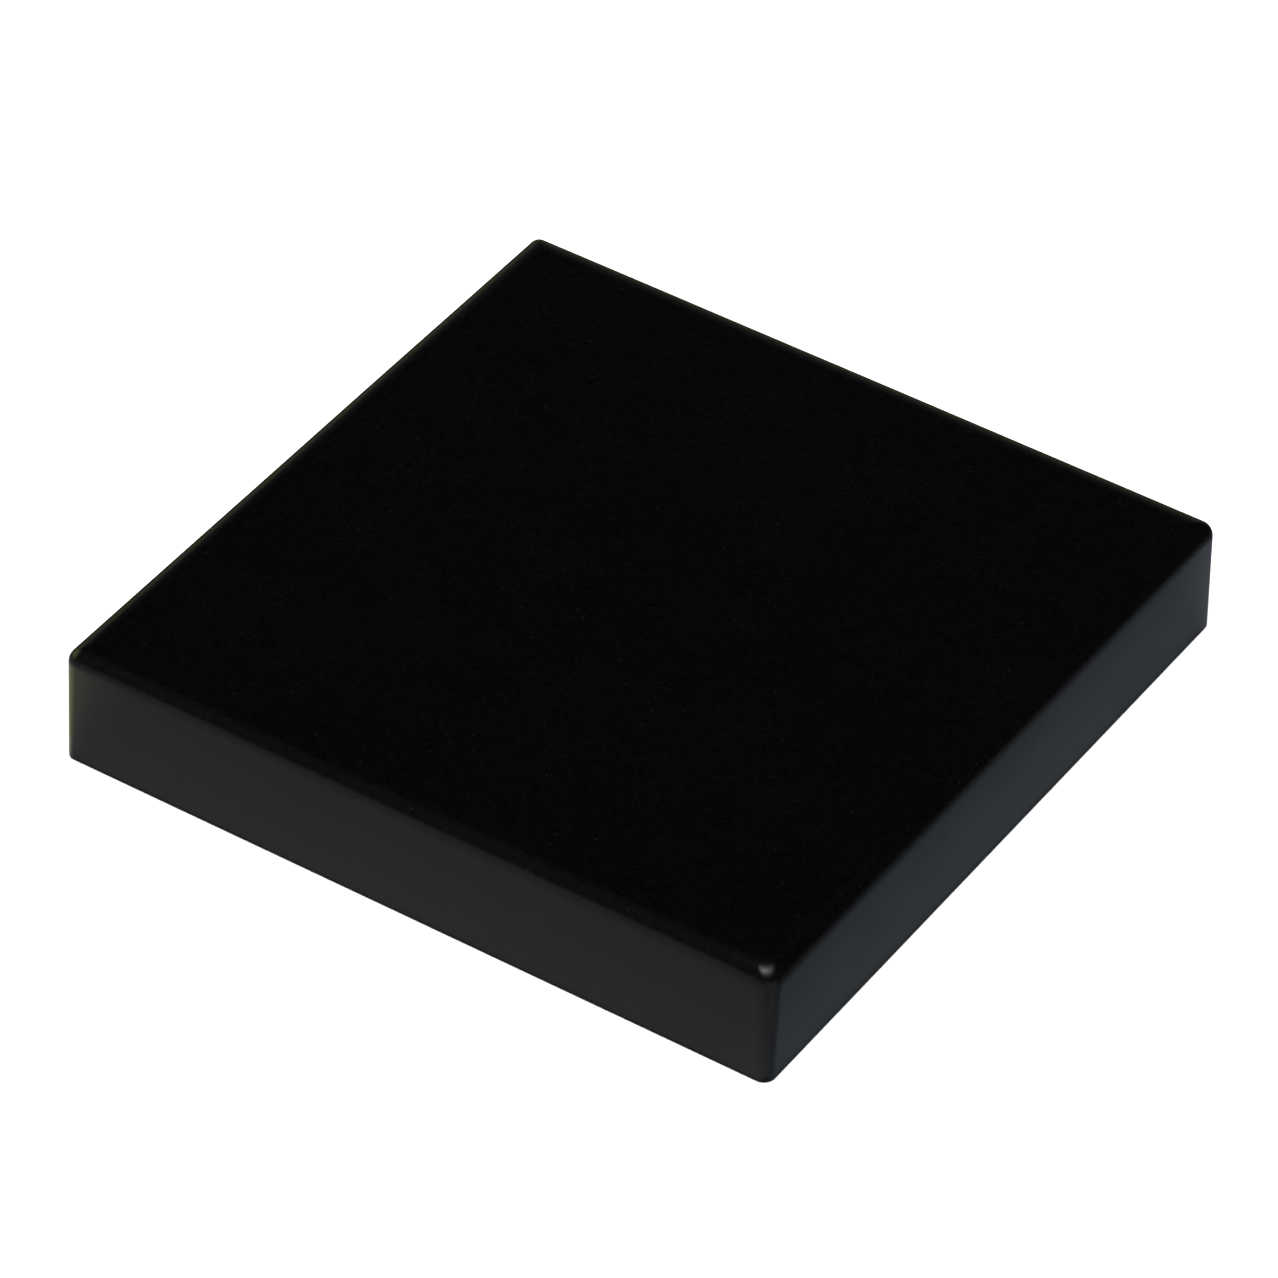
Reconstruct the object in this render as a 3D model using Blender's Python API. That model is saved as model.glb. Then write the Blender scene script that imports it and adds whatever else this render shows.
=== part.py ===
"""Granite tooling slab: one solid square block of black granite.

The slab lies flat and takes mallet blows while leather is stamped, carved or
punched on it. It is cut from a single piece of stone. Its four vertical corners
are rounded, its top edge is eased with a generous radius so that it cannot mark
the leather or the hand, and its bottom edge has only the sharpness taken off.

Units are metres, +Z is up, and the origin is the centre of the bottom face.
"""
from math import radians

import bmesh
import bpy
from mathutils import Matrix

# Driving dimensions
SIDE = 0.3048                # length of each side of the square
THICKNESS = 0.0508           # bottom face to top face
CORNER_RADIUS = 0.0064       # rounding of the four vertical corners, seen from above
TOP_EASE_RADIUS = 0.0062     # rounding between the top face and the sides
BASE_EASE_RADIUS = 0.0012    # rounding between the bottom face and the sides

# How finely each rounding is cut
CORNER_SEGMENTS = 10
TOP_EASE_SEGMENTS = 8
BASE_EASE_SEGMENTS = 3
ROUND_PROFILE = 0.5          # a bevel profile of one half is a circular arc

# Largest angle between two faces that still reads as one smooth surface
SMOOTH_ANGLE = radians(25)
SAME_HEIGHT = 1e-6           # heights closer than this are the same level

# Near-black stone with a polished face
STONE_COLOUR = (0.013, 0.013, 0.014, 1.0)
STONE_ROUGHNESS = 0.16
STONE_METALLIC = 0.0


def clear_scene():
    """Remove whatever objects the scene starts with."""
    for obj in list(bpy.data.objects):
        bpy.data.objects.remove(obj, do_unlink=True)


def polished_granite():
    """The slab's stone."""
    material = bpy.data.materials.new("polished_granite")
    material.use_nodes = True
    shader = material.node_tree.nodes["Principled BSDF"]
    shader.inputs["Base Color"].default_value = STONE_COLOUR
    shader.inputs["Roughness"].default_value = STONE_ROUGHNESS
    shader.inputs["Metallic"].default_value = STONE_METALLIC
    material.diffuse_color = STONE_COLOUR
    return material


def square_block(bm):
    """A sharp-edged block that stands on the origin."""
    size = Matrix.Diagonal((SIDE, SIDE, THICKNESS, 1.0))
    lift = Matrix.Translation((0.0, 0.0, THICKNESS / 2))
    bmesh.ops.create_cube(bm, size=1.0, matrix=lift @ size)


def is_level(edge, height):
    """True where both ends of an edge lie at one height."""
    return all(abs(vert.co.z - height) < SAME_HEIGHT for vert in edge.verts)


def round_edges(bm, edges, radius, segments):
    """Replace edges with circular roundings of one radius."""
    bmesh.ops.bevel(
        bm,
        geom=edges,
        offset=radius,
        offset_type="OFFSET",
        segments=segments,
        profile=ROUND_PROFILE,
        affect="EDGES",
        clamp_overlap=False,
    )


def granite_slab():
    """The whole slab, rounded at its corners, top edge and bottom edge."""
    bm = bmesh.new()
    square_block(bm)
    upright = [e for e in bm.edges if not is_level(e, 0.0) and not is_level(e, THICKNESS)]
    round_edges(bm, upright, CORNER_RADIUS, CORNER_SEGMENTS)
    top_rim = [e for e in bm.edges if is_level(e, THICKNESS)]
    round_edges(bm, top_rim, TOP_EASE_RADIUS, TOP_EASE_SEGMENTS)
    base_rim = [e for e in bm.edges if is_level(e, 0.0)]
    round_edges(bm, base_rim, BASE_EASE_RADIUS, BASE_EASE_SEGMENTS)
    bmesh.ops.recalc_face_normals(bm, faces=bm.faces)

    mesh = bpy.data.meshes.new("granite_slab")
    bm.to_mesh(mesh)
    bm.free()
    mesh.materials.append(polished_granite())
    mesh.shade_smooth()
    mesh.set_sharp_from_angle(angle=SMOOTH_ANGLE)

    slab = bpy.data.objects.new("granite_slab", mesh)
    slab.location = (0.0, 0.0, 0.0)
    bpy.context.scene.collection.objects.link(slab)
    return slab


clear_scene()
granite_slab()
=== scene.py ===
"""Looks of the granite tooling slab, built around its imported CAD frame."""
import math
import random

import bmesh
import bpy
from mathutils import Matrix, Vector


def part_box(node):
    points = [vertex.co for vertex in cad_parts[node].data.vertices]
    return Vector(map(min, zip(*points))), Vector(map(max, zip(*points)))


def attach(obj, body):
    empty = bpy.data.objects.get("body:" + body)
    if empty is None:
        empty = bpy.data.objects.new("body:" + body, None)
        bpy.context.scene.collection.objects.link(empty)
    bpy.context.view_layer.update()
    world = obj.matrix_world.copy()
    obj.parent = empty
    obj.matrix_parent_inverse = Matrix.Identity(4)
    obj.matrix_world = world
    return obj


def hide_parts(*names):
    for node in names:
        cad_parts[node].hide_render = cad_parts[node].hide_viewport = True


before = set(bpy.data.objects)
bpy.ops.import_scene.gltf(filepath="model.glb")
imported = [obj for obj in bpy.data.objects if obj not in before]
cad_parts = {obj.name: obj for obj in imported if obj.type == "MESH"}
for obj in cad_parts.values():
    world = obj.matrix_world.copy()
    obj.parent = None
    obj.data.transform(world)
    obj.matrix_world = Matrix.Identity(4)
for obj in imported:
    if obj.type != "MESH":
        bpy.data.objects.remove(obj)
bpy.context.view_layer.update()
LOW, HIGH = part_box("granite_slab")

# The slab's driving sizes, in metres
SIDE = HIGH[0] - LOW[0]
THICKNESS = HIGH[2] - LOW[2]
CORNERS = (                  # radius of each vertical corner at the base and at the top
    (0.0028, 0.0055),        # +X +Y
    (0.0032, 0.0046),        # -X +Y
    (0.0032, 0.0058),        # -X -Y
    (0.0048, 0.0064),        # +X -Y
)
MITRE = 0.0005               # least radius left where two top roundings meet at a corner
TOP_EASE_RADIUS = 0.0061     # between the top face and the sides
BASE_EASE_RADIUS = 0.0012    # between the bottom face and the sides
EASE_WANDER = 0.04           # how far the hand-worked top rounding strays below its radius
EASE_LEAN = 0.10             # and how much larger it is towards one bearing
EASE_LEAN_BEARING = math.radians(-28)
SHOULDER_TILT = math.radians(6)   # where the rounding goes over into a slow fall-off
SHOULDER = 0.0038            # and how far that reaches onto the top face
WORN_REACH = 0.034           # one corner's top is rubbed rounder, over this length
WORN_EASE = 0.0014           # and its top rounding grows by this much
WORN_SPREAD = 0.9            # while its corner radius grows by this share of the inset
FLAT_MARGIN = 0.00015        # width of the flat strip that borders each large face

# The camera, round the middle of the slab
CAMERA_AZIMUTH = 32.447
CAMERA_ELEVATION = 40.381
CAMERA_ROLL = 1.681
CAMERA_DISTANCE = 9.4355 * SIDE
CAMERA_RIGHT = -0.00865 * SIDE
CAMERA_DOWN = 0.00175 * SIDE
SENSOR_WIDTH = 36.0
LENS = 220.77
FARTHEST_SEEN = 100

rng = random.Random(7)


# ---------------------------------------------------------------- helpers

def direction(azimuth, elevation):
    """Unit vector from the slab towards a place seen at that azimuth and elevation."""
    a, e = math.radians(azimuth), math.radians(elevation)
    return Vector((math.sin(a) * math.cos(e), -math.cos(a) * math.cos(e), math.sin(e)))


def rise(elevation):
    """The Z of a unit vector that points that many degrees up."""
    return math.sin(math.radians(elevation))


def add(obj):
    bpy.context.scene.collection.objects.link(obj)
    return obj


class Shading:
    """Short names for building a node tree."""

    def __init__(self, tree):
        self.tree = tree

    def node(self, kind, settings=(), **inputs):
        made = self.tree.nodes.new("ShaderNode" + kind)
        for name, value in dict(settings).items():
            setattr(made, name, value)
        for name, value in inputs.items():
            self.feed(made.inputs[name.replace("_", " ")], value)
        return made

    def feed(self, socket, value):
        if isinstance(value, bpy.types.NodeSocket):
            self.tree.links.new(value, socket)
        else:
            socket.default_value = value

    def math(self, operation, a, b=0.0, c=0.0):
        made = self.node("Math", {"operation": operation})
        for socket, value in zip(made.inputs, (a, b, c)):
            self.feed(socket, value)
        return made.outputs[0]

    def product(self, *values):
        result = values[0]
        for value in values[1:]:
            result = self.math("MULTIPLY", result, value)
        return result

    def blend(self, share, a, b):
        """Number a turned into number b by share."""
        return self.math("MULTIPLY_ADD", share, self.math("SUBTRACT", b, a), a)

    def vector(self, operation, a, b, output="Vector"):
        made = self.node("VectorMath", {"operation": operation})
        self.feed(made.inputs[0], a)
        self.feed(made.inputs[1], b)
        return made.outputs[output]

    def ramp(self, value, low, high, to_low=0.0, to_high=1.0, smooth=True):
        """Value taken from low..high to to_low..to_high, and held at both ends."""
        made = self.node("MapRange", {"interpolation_type": "SMOOTHSTEP" if smooth else "LINEAR"},
                         Value=value, From_Min=low, From_Max=high, To_Min=to_low, To_Max=to_high)
        return made.outputs["Result"]

    def mix(self, share, a, b):
        """Colour a turned into colour b by share."""
        made = self.node("Mix", {"data_type": "RGBA"})
        self.feed(made.inputs[0], share)
        self.feed(made.inputs[6], a)
        self.feed(made.inputs[7], b)
        return made.outputs[2]

    def noise(self, where, scale, detail=2.0, roughness=0.5):
        return self.node("TexNoise", Vector=where, Scale=scale, Detail=detail,
                         Roughness=roughness).outputs["Fac"]

    def cells(self, where, scale):
        """Distance to the cell's centre, and a grey that is constant over each cell."""
        made = self.node("TexVoronoi", Vector=where, Scale=scale)
        split = self.node("SeparateColor", Color=made.outputs["Color"])
        return made.outputs["Distance"], split.outputs["Red"]


# ---------------------------------------------------------------- the slab's shape

def outline(per_side=48, per_corner=14):
    """(quarter turns, share of the side or None, angle of the corner) for points round the slab."""
    marks = []
    for quarter in range(4):
        for step in range(per_side):
            marks.append((quarter, 0.5 - 0.5 * math.cos(math.pi * step / per_side), 0.0))
        for step in range(per_corner):
            marks.append((quarter, None, math.pi / 2 * step / per_corner))
    return marks


def larger(a, b, softness=0.001):
    """The larger of two lengths, with a soft change from one to the other."""
    return 0.5 * (a + b + math.hypot(a - b, softness))


def spot(mark, inset, height, worn=0.0):
    """The slab's surface at one mark of the outline, drawn in by inset."""
    quarter, share, angle = mark
    low, high = CORNERS[quarter]
    if share is not None:
        before = CORNERS[quarter - 1]
        low += (before[0] - low) * (1 - share)
        high += (before[1] - high) * (1 - share)
    radius = low + (high - low) * height / THICKNESS + WORN_SPREAD * worn * inset
    radius = larger(radius, inset + MITRE)
    reach = SIDE / 2 - radius
    if share is None:
        inner = Vector((reach, reach))
        flat = inner + (radius - inset) * Vector((math.cos(angle), math.sin(angle)))
    else:
        flat = Vector((SIDE / 2 - inset, reach * (2 * share - 1)))
    flat = Matrix.Rotation(quarter * math.pi / 2, 2) @ flat
    return flat.x, flat.y, LOW[2] + height


def wear(x, y):
    """1 at the corner that is rubbed rounder, fading to 0 along the sides beside it."""
    away = math.hypot(x - SIDE / 2, y + SIDE / 2)
    return max(0.0, 1.0 - away / WORN_REACH) ** 2


def wander(fewest=2, waves=9):
    """A smooth function of the bearing, from 0 to 1, that closes on itself."""
    terms = [(k, rng.uniform(0, 2 * math.pi), rng.uniform(0.4, 1.0))
             for k in range(fewest, fewest + waves)]
    total = sum(size for _, _, size in terms)
    return lambda bearing: 0.5 + 0.5 * sum(size * math.sin(k * bearing + phase)
                                           for k, phase, size in terms) / total


def profile(top_radius, base_steps=6, rows=14, top_steps=16, shoulder_steps=6):
    """(inset, height) pairs from the base, up the side and onto the top face."""
    pairs = [(BASE_EASE_RADIUS + FLAT_MARGIN, 0.0)]
    for step in range(base_steps + 1):
        angle = math.pi / 2 * step / base_steps
        inset = BASE_EASE_RADIUS * (1 - math.sin(angle))
        pairs.append((inset, BASE_EASE_RADIUS * (1 - math.cos(angle))))
    drop = SHOULDER * math.tan(SHOULDER_TILT) / 2
    last = math.pi / 2 - SHOULDER_TILT
    low, high = BASE_EASE_RADIUS, THICKNESS - drop - top_radius * math.sin(last)
    for row in range(1, rows):
        pairs.append((0.0, low + (high - low) * row / rows))
    for step in range(top_steps + 1):
        angle = last * step / top_steps
        pairs.append((top_radius * (1 - math.cos(angle)), high + top_radius * math.sin(angle)))
    start = pairs[-1][0]
    for step in range(1, shoulder_steps + 1):
        left = 1 - step / shoulder_steps
        pairs.append((start + SHOULDER * (1 - left), THICKNESS - drop * left ** 2))
    pairs.append((start + SHOULDER + FLAT_MARGIN, THICKNESS))
    return pairs


def slab_mesh():
    """A column of points for each mark of the outline, joined round, and the two large faces."""
    bm = bmesh.new()
    stray = wander()
    columns = []
    for mark in outline():
        x, y, _ = spot(mark, 0.0, THICKNESS)
        worn, bearing = wear(x, y), math.atan2(y, x)
        swell = 1 - EASE_WANDER * stray(bearing) + EASE_LEAN * math.cos(bearing - EASE_LEAN_BEARING)
        pairs = profile(TOP_EASE_RADIUS * swell + WORN_EASE * worn)
        columns.append([bm.verts.new(spot(mark, *pair, worn)) for pair in pairs])
    for left, right in zip(columns, columns[1:] + columns[:1]):
        for k in range(len(left) - 1):
            bm.faces.new((left[k], right[k], right[k + 1], left[k + 1]))
    bm.faces.new([column[-1] for column in columns])
    bm.faces.new([column[0] for column in reversed(columns)])
    mesh = bpy.data.meshes.new("slab")
    bm.to_mesh(mesh)
    bm.free()
    mesh.shade_smooth()
    return mesh


# ---------------------------------------------------------------- the stone

# Heights over which one kind of surface turns into another
TOP_STARTS = (THICKNESS - 0.0022, THICKNESS - 0.0002)
POLISH_STARTS = (THICKNESS - 0.0042, THICKNESS - 0.0016)
POLISH_STRAY = 0.0016        # how far down the polish's edge strays
BASE_ENDS = (0.0007, 0.0001)

# Linear colours, from the darkest crystals to the lightest
POLISHED_COLOURS = ((0.0004, 0.0004, 0.0005, 1), (0.0011, 0.0011, 0.0012, 1))
SATIN_COLOURS = ((0.0018, 0.0018, 0.0018, 1), (0.0034, 0.0034, 0.0034, 1))
SAWN_COLOURS = ((0.022, 0.022, 0.023, 1), (0.055, 0.055, 0.056, 1))
BRONZE = (0.018, 0.016, 0.013, 1)
BRONZE_SHARE = 0.4

# How many of each there are along a metre
CRYSTALS = 850.0
BRONZE_GRAINS = 240.0
PINHOLES = 420.0
CLOUDS = 24.0
SMUDGES = 15.0
POLISH_STRAYS = 30.0
GRINDING_LINES = (18.0, 18.0, 1500.0)
SAW_ARCS = 110.0
SAW_OFFSET = (0.31, 0.12, 0.0)    # the arcs' middle lies off the slab

# Roughness, and what smudges and crystals add to it
TOP_ROUGHNESS = 0.08
TOP_SMUDGED = 0.05
EDGE_ROUGHNESS = 0.22
SIDE_ROUGHNESS = 0.28
SIDE_SMUDGED = 0.06
CRYSTAL_ROUGHNESS = 0.02
SAWN_ROUGHNESS = 0.62
GRANITE_IOR = 1.5

# Relief: its depth in metres, and what share of it each feature takes
RELIEF_DEPTH = 0.00003
PINHOLE_RELIEF = -0.7
GRINDING_RELIEF = 0.25
SAW_RELIEF = 1.6


def granite():
    """Fine-grained black granite: polished top and edges, satin sides, sawn base."""
    material = bpy.data.materials.new("black_granite")
    material.use_nodes = True
    tree = material.node_tree
    s = Shading(tree)
    shader = tree.nodes["Principled BSDF"]
    place = s.node("TexCoord").outputs["Object"]
    height = s.node("SeparateXYZ", Vector=place).outputs["Z"]

    # Where each kind of surface is: the top face, all that is polished, and the base
    strayed = s.math("MULTIPLY_ADD", s.noise(place, POLISH_STRAYS), POLISH_STRAY, height)
    on_top = s.ramp(height, *TOP_STARTS)
    polished = s.ramp(strayed, *POLISH_STARTS)
    on_base = s.ramp(height, *BASE_ENDS)

    # Colour: close-packed dark crystals, broad clouding, a few dull bronze grains
    _, crystal = s.cells(place, CRYSTALS)
    spacing, rare = s.cells(place, BRONZE_GRAINS)
    clouding = s.math("MULTIPLY", s.noise(place, CLOUDS, 4.0, 0.6), 0.7)
    tone = s.ramp(s.math("MULTIPLY_ADD", crystal, 0.8, clouding), 0.25, 1.15)
    stone = s.mix(polished, s.mix(tone, *SATIN_COLOURS), s.mix(tone, *POLISHED_COLOURS))
    grain = s.product(s.ramp(spacing, 0.10, 0.06), s.ramp(rare, 0.55, 0.75), BRONZE_SHARE)
    stone = s.mix(grain, stone, BRONZE)
    s.feed(shader.inputs["Base Color"], s.mix(on_base, stone, s.mix(crystal, *SAWN_COLOURS)))

    # Gloss: handling marks in the polish, duller sides, no polish below
    smudge = s.ramp(s.noise(place, SMUDGES, 5.0, 0.62), 0.45, 0.75)
    top = s.math("MULTIPLY_ADD", smudge, TOP_SMUDGED, TOP_ROUGHNESS)
    side = s.math("MULTIPLY_ADD", smudge, SIDE_SMUDGED, SIDE_ROUGHNESS)
    gloss = s.blend(polished, side, s.blend(on_top, EDGE_ROUGHNESS, top))
    gloss = s.math("MULTIPLY_ADD", crystal, CRYSTAL_ROUGHNESS, gloss)
    s.feed(shader.inputs["Roughness"], s.blend(on_base, gloss, SAWN_ROUGHNESS))
    shader.inputs["IOR"].default_value = GRANITE_IOR
    shader.inputs["Specular IOR Level"].default_value = 0.5

    # Relief: pinholes between crystals, faint grinding lines round the sides, saw arcs below
    gap, pick = s.cells(place, PINHOLES)
    pinholes = s.product(s.ramp(gap, 0.16, 0.02), s.ramp(pick, 0.80, 0.84))
    lines = s.noise(s.vector("MULTIPLY", place, GRINDING_LINES), 1.0, 3.0, 0.6)
    lines = s.product(lines, s.math("SUBTRACT", 1.0, polished), GRINDING_RELIEF)
    saw = s.node("TexWave", {"wave_type": "RINGS", "rings_direction": "Z"},
                 Vector=s.vector("ADD", place, SAW_OFFSET), Scale=SAW_ARCS, Distortion=0.6, Detail=2.0)
    relief = s.math("MULTIPLY_ADD", pinholes, PINHOLE_RELIEF, lines)
    relief = s.math("MULTIPLY_ADD", s.product(saw.outputs["Fac"], on_base), SAW_RELIEF, relief)
    bump = s.node("Bump", Strength=1.0, Distance=RELIEF_DEPTH, Height=relief)
    s.feed(shader.inputs["Normal"], bump.outputs["Normal"])
    return material


slab = add(bpy.data.objects.new("slab", slab_mesh()))
slab.data.materials.append(granite())
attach(slab, "root")
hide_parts("granite_slab")


# ---------------------------------------------------------------- studio

# The paper and the room are white to the eye. The stone mirrors them dimmed: cool in front and to the
# right, where the light comes from, and warm to the left and behind. The paper's part of that is a
# painted glow with painted light, shade and tint, which only the stone sees.
WHITE = (1, 1, 1, 1)
BLACK = (0, 0, 0, 1)
PAPER_SEEN = (0.94, 0.94, 0.94, 1)
FRONT_TINT = (0.945, 1.0, 1.07, 1)
RIGHT_TINT = (0.88, 1.0, 1.145, 1)
LEFT_TINT = (1.0, 1.0, 0.86, 1)
LEFT_PATCH_TINT = (1.0, 1.0, 0.66, 1)
BACK_TINT = (0.95, 1.0, 0.45, 1)
WINDOW_TINT = (1.0, 1.0, 0.50, 1)

# The paper, and where its left tint turns into the right one
FLOOR_RADIUS = 60.0
FLOOR_GAP = 0.0002           # between the slab's base and the paper
LEFT_TO_RIGHT = (-0.02, 0.02)

# How bright the paper glows to the stone, and the zones of painted shade and painted light where it
# glows at a share of that. A zone is (start, end, share), and its share sets in from start to end, in
# metres out from the slab.
PAPER_MIRRORED = 0.33
UNDER_EDGE = (0.0025, 0.0, 0.25)         # the shade right along the outline
FAR_IN_FRONT = (0.005, -0.055, 0.75)     # Y past the front side, which falls to the front
RIGHT_OF_CORNER = (-0.03, 0.0, 1.12)     # X past the right side
OFF_CORNER = (0.002, 0.014, 0.70)        # diagonally out from the front corner
BESIDE = (-0.004, 0.004, 0.61)           # out from the left, right and back sides
FARTHER = (0.016, 0.033, 0.54)           # a thumb's width farther out
FARTHEST = (0.07, 0.35, 0.22)            # and on to where the paper ends
OFF_CORNER_SLOPE = 1.3

# Two painted pools of light in the paper's glow, each with three soft edges given as (outer, inner)
# distances
LEFT_PATCH_MIRRORED = 0.90               # out from the left corner
LEFT_PATCH_FRONT = (-0.005, 0.003)
LEFT_PATCH_FRONT_SLOPE = 0.64
LEFT_PATCH_BACK = (0.014, 0.004)
LEFT_PATCH_BACK_SLOPE = -0.3
LEFT_PATCH_END = (0.11, 0.045)
RIGHT_PATCH_MIRRORED = 0.42              # behind the right corner
RIGHT_PATCH_FRONT = (-0.008, 0.001)
RIGHT_PATCH_FRONT_SLOPE = -1.6
RIGHT_PATCH_SIDE = (-0.010, 0.0)
RIGHT_PATCH_END = (0.075, 0.040)

# How bright the stone sees the room. Spans in X and Y are of a unit vector towards the room,
# and pairs of elevations are degrees above the horizon.
ROOM_SEEN = 1.0
ROOM_FILL = 0.6                          # what the room gives to all that isn't glossy
FRONT_TO_BACK_Y = (-0.3, 0.4)
FRONT_HORIZON_MIRRORED = 0.26
FRONT_HORIZON_ELEVATIONS = (2, 28)
FRONT_ROOM_MIRRORED = 0.055
BACK_LEFT_HORIZON_MIRRORED = 0.24
BACK_RIGHT_HORIZON_MIRRORED = 0.02
BACK_LEFT_TO_RIGHT_X = (-0.75, 0.3)
BACK_HORIZON_ELEVATIONS = (21, 39)
BACK_ROOM_MIRRORED = 0.012
BACK_ROOM_ELEVATIONS = (45, 64)
BACK_TINT_Y = (0.1, 0.5)
BACK_TINT_X = (-0.15, -0.35)
BACK_TINT_ELEVATIONS = (30, 12)

# Three glows in the room: a soft lamp that the rounded corner mirrors, a warm low window to the
# left, and the wall that it lights, farther left and higher. Angles are in degrees.
LAMP = {"azimuth": 56, "elevation": 80, "reach": 36, "sharpness": 3.0}
LAMP_MIRRORED = 5.3
WINDOW = {"azimuth": -80, "elevation": 22, "reach": 40, "sharpness": 1.2}
WINDOW_MIRRORED = 1.2
WINDOW_EDGE = math.radians(-46)          # the azimuth where it ends on the front's side
WINDOW_EDGE_SOFTNESS = 0.2
WINDOW_SILL_ELEVATIONS = (5, 14)
WALL = {"azimuth": -106, "elevation": 38, "reach": 26, "sharpness": 2.5}
WALL_MIRRORED = 0.5
WINDOW_TINT_FULL = 0.2                   # how strong a glow takes the whole of the window's tint


def paper():
    """White to the eye, and to the stone a painted glow of dim light and shade round the slab."""
    material = bpy.data.materials.new("floor_paper")
    material.use_nodes = True
    material.cycles.emission_sampling = "NONE"
    s = Shading(material.node_tree)
    shader = material.node_tree.nodes["Principled BSDF"]
    seen = s.node("LightPath").outputs["Is Camera Ray"]
    place = s.node("SeparateXYZ", Vector=s.node("TexCoord").outputs["Object"])
    x, y = place.outputs["X"], place.outputs["Y"]

    # Distances past the slab's sides, and what follows from them
    across = s.math("ABSOLUTE", x)
    out = s.math("SUBTRACT", s.math("MAXIMUM", across, s.math("ABSOLUTE", y)), SIDE / 2)
    past_left, past_right = s.math("SUBTRACT", -SIDE / 2, x), s.math("SUBTRACT", x, SIDE / 2)
    past_front, past_back = s.math("ADD", y, SIDE / 2), s.math("SUBTRACT", y, SIDE / 2)
    in_front = s.math("MINIMUM", past_front, 0.0)
    beside = s.math("MINIMUM", s.math("SUBTRACT", across, SIDE / 2), past_front)
    beside = s.math("MAXIMUM", beside, past_back)
    diagonal = s.math("MULTIPLY_ADD", past_right, OFF_CORNER_SLOPE, s.math("SUBTRACT", 0.0, past_front))
    diagonal = s.math("MINIMUM", past_right, diagonal)

    # Painted shade and light in the paper's glow, zone by zone round the slab
    zones = ((out, UNDER_EDGE), (past_front, FAR_IN_FRONT), (past_right, RIGHT_OF_CORNER),
             (diagonal, OFF_CORNER), (beside, BESIDE), (beside, FARTHER), (beside, FARTHEST))
    mirrored = PAPER_MIRRORED
    for distance, (start, end, share) in zones:
        mirrored = s.math("MULTIPLY", mirrored, s.ramp(distance, start, end, 1.0, share))

    # Two painted pools of light in the paper's glow, out from the left corner and behind the right one
    front_slant = s.math("MULTIPLY_ADD", in_front, LEFT_PATCH_FRONT_SLOPE, past_left)
    back_slant = s.math("MULTIPLY_ADD", past_left, LEFT_PATCH_BACK_SLOPE, past_front)
    left_painted_light = s.product(
        s.ramp(front_slant, *LEFT_PATCH_FRONT),
        s.ramp(back_slant, *LEFT_PATCH_BACK),
        s.ramp(past_left, *LEFT_PATCH_END))
    side_slant = s.math("MULTIPLY_ADD", past_right, RIGHT_PATCH_FRONT_SLOPE, past_back)
    right_painted_light = s.product(
        s.ramp(side_slant, *RIGHT_PATCH_FRONT),
        s.ramp(past_right, *RIGHT_PATCH_SIDE),
        s.ramp(past_back, *RIGHT_PATCH_END))
    mirrored = s.blend(left_painted_light, mirrored, LEFT_PATCH_MIRRORED)
    mirrored = s.blend(right_painted_light, mirrored, RIGHT_PATCH_MIRRORED)

    # Painted tint of the glow: cool in front and to the right, warm to the left and in the left pool
    start, end, _ = BESIDE
    tint = s.mix(s.ramp(x, *LEFT_TO_RIGHT), LEFT_TINT, RIGHT_TINT)
    tint = s.mix(s.ramp(beside, start, end), FRONT_TINT, tint)
    tint = s.mix(left_painted_light, tint, LEFT_PATCH_TINT)

    # To the eye, lit white paper. To the stone, black paper that gives off the painted glow instead
    s.feed(shader.inputs["Base Color"], s.mix(seen, BLACK, PAPER_SEEN))
    s.feed(shader.inputs["Emission Color"], tint)
    s.feed(shader.inputs["Emission Strength"], s.product(s.math("SUBTRACT", 1.0, seen), mirrored))
    shader.inputs["Roughness"].default_value = 0.9
    shader.inputs["Specular IOR Level"].default_value = 0.0
    return material


def floor():
    bm = bmesh.new()
    bmesh.ops.create_circle(bm, cap_ends=True, radius=FLOOR_RADIUS, segments=96)
    mesh = bpy.data.meshes.new("floor")
    bm.to_mesh(mesh)
    bm.free()
    obj = add(bpy.data.objects.new("floor", mesh))
    obj.location.z = LOW[2] - FLOOR_GAP
    obj.data.materials.append(paper())


def fade(s, height, elevations, below, above):
    """Brightness below up to the first elevation, turned into above at the second."""
    return s.blend(s.ramp(height, *map(rise, elevations)), below, above)


def glow(s, sky, azimuth, elevation, reach, sharpness):
    """1 in one direction, easing to 0 at reach away from it."""
    cosine = s.vector("DOT_PRODUCT", sky, direction(azimuth, elevation), "Value")
    share = s.ramp(s.math("ARCCOSINE", cosine), math.radians(reach), 0.0, smooth=False)
    return s.math("POWER", share, sharpness)


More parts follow.
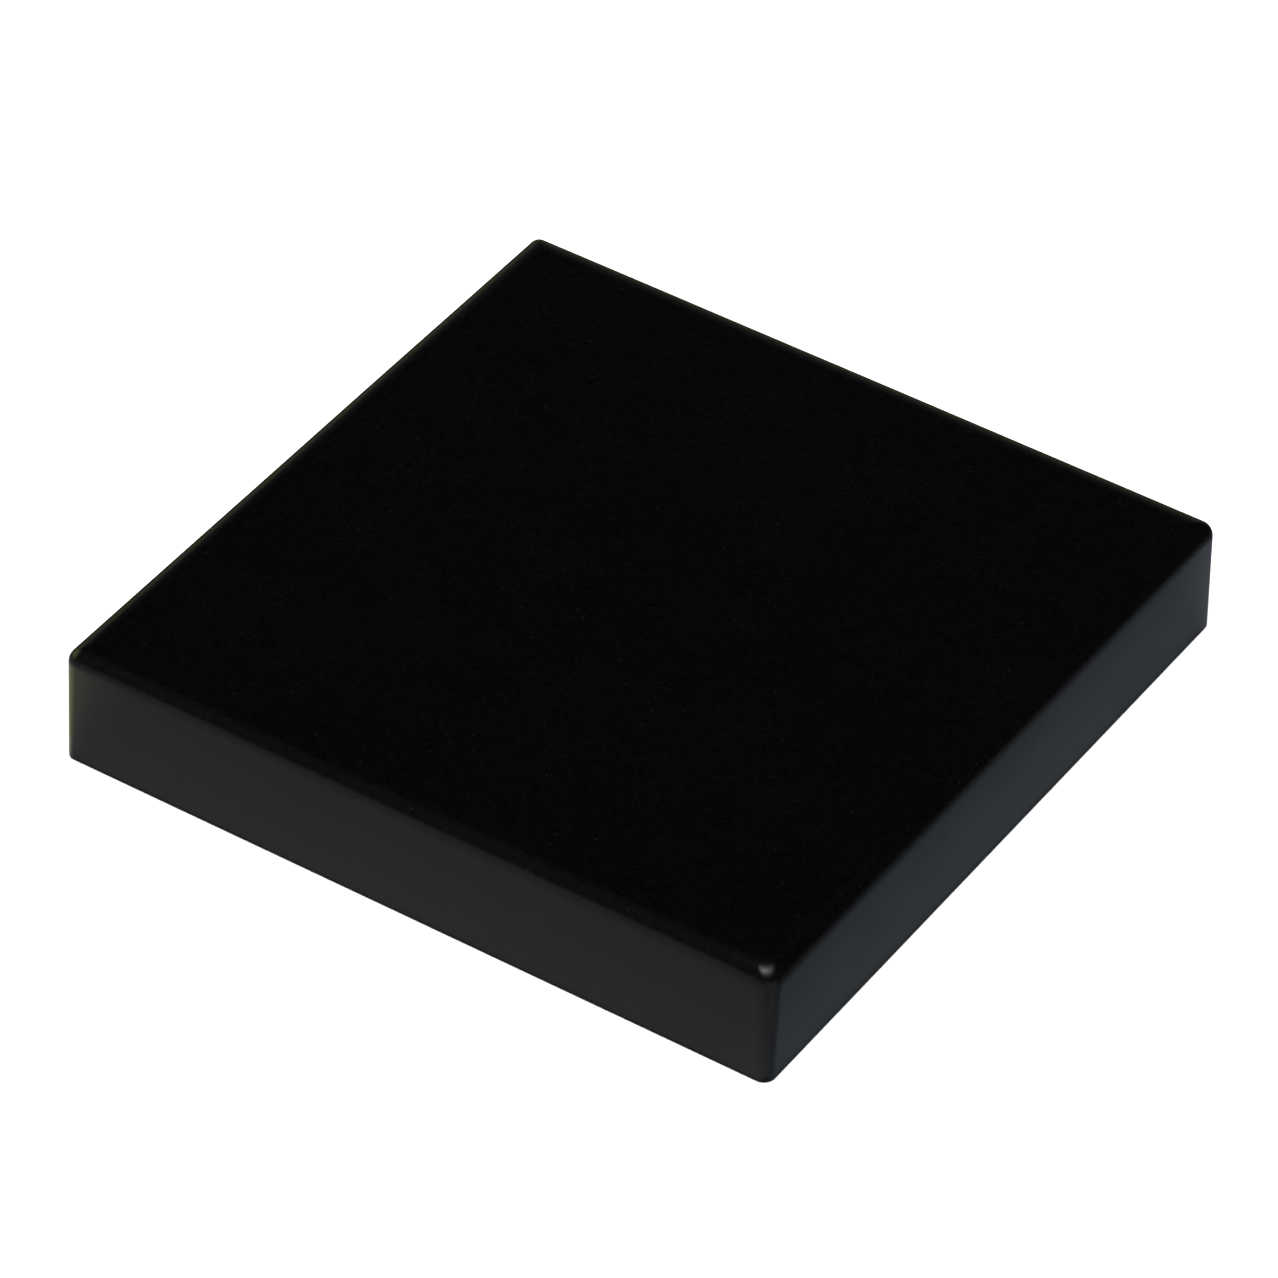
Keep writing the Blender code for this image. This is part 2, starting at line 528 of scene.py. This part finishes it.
def room():
    """White to the eye, and to the stone a dim room with a lamp and a window in it."""
    world = bpy.data.worlds.new("studio")
    bpy.context.scene.world = world
    world.use_nodes = True
    world.cycles.sampling_method = "NONE"
    s = Shading(world.node_tree)
    ray = s.node("LightPath")
    glossy, seen = ray.outputs["Is Glossy Ray"], ray.outputs["Is Camera Ray"]
    sky = s.node("TexCoord").outputs["Generated"]
    way = s.node("SeparateXYZ", Vector=sky)
    x, y, height = way.outputs["X"], way.outputs["Y"], way.outputs["Z"]

    horizon = s.ramp(x, *BACK_LEFT_TO_RIGHT_X, BACK_LEFT_HORIZON_MIRRORED, BACK_RIGHT_HORIZON_MIRRORED)
    behind = fade(s, height, BACK_HORIZON_ELEVATIONS, horizon, BACK_ROOM_MIRRORED)
    behind = fade(s, height, BACK_ROOM_ELEVATIONS, behind, FRONT_ROOM_MIRRORED)
    before = fade(s, height, FRONT_HORIZON_ELEVATIONS, FRONT_HORIZON_MIRRORED, FRONT_ROOM_MIRRORED)
    mirrored = s.blend(s.ramp(y, *FRONT_TO_BACK_Y), before, behind)

    away_from_front = (-math.cos(WINDOW_EDGE), -math.sin(WINDOW_EDGE), 0.0)
    past_edge = s.vector("DOT_PRODUCT", sky, away_from_front, "Value")
    window = s.product(glow(s, sky, **WINDOW), s.ramp(past_edge, 0.0, WINDOW_EDGE_SOFTNESS),
                       s.ramp(height, *map(rise, WINDOW_SILL_ELEVATIONS)))
    wall = glow(s, sky, **WALL)
    mirrored = s.math("MULTIPLY_ADD", glow(s, sky, **LAMP), LAMP_MIRRORED, mirrored)
    mirrored = s.math("MULTIPLY_ADD", window, WINDOW_MIRRORED, mirrored)
    mirrored = s.math("MULTIPLY_ADD", wall, WALL_MIRRORED, mirrored)

    warm = s.product(s.ramp(y, *BACK_TINT_Y), s.ramp(x, *BACK_TINT_X),
                     s.ramp(height, *map(rise, BACK_TINT_ELEVATIONS)))
    lit = s.ramp(s.math("ADD", window, wall), 0.0, WINDOW_TINT_FULL)
    colour = s.mix(lit, s.mix(warm, WHITE, BACK_TINT), WINDOW_TINT)

    level = s.blend(seen, s.blend(glossy, ROOM_FILL, mirrored), ROOM_SEEN)
    background = world.node_tree.nodes["Background"]
    s.feed(background.inputs["Color"], s.mix(glossy, WHITE, colour))
    s.feed(background.inputs["Strength"], level)


def sun(name, azimuth, elevation, strength, size):
    """Lights the stone and the paper, and isn't itself mirrored."""
    lamp = bpy.data.lights.new(name, "SUN")
    lamp.energy = strength
    lamp.angle = math.radians(size)
    obj = add(bpy.data.objects.new(name, lamp))
    obj.rotation_mode = "QUATERNION"
    obj.rotation_quaternion = direction(azimuth, elevation).to_track_quat("Z", "Y")
    obj.visible_glossy = False


floor()
room()
sun("soft_key", azimuth=30, elevation=62, strength=4.4, size=30)


# ---------------------------------------------------------------- camera

def camera():
    back = direction(CAMERA_AZIMUTH, CAMERA_ELEVATION)
    a = math.radians(CAMERA_AZIMUTH)
    right = Vector((math.cos(a), math.sin(a), 0))
    up = back.cross(right)
    roll = math.radians(CAMERA_ROLL)
    right, up = (math.cos(roll) * right + math.sin(roll) * up,
                 math.cos(roll) * up - math.sin(roll) * right)
    data = bpy.data.cameras.new("camera")
    data.sensor_width = SENSOR_WIDTH
    data.lens = LENS
    data.clip_end = FARTHEST_SEEN
    obj = add(bpy.data.objects.new("camera", data))
    middle = Vector((0, 0, (LOW[2] + HIGH[2]) / 2))
    place = middle + CAMERA_DISTANCE * back + CAMERA_RIGHT * right - CAMERA_DOWN * up
    obj.matrix_world = Matrix.Translation(place) @ Matrix((right, up, back)).transposed().to_4x4()
    bpy.context.scene.camera = obj


camera()
bpy.context.scene.view_settings.view_transform = "Standard"
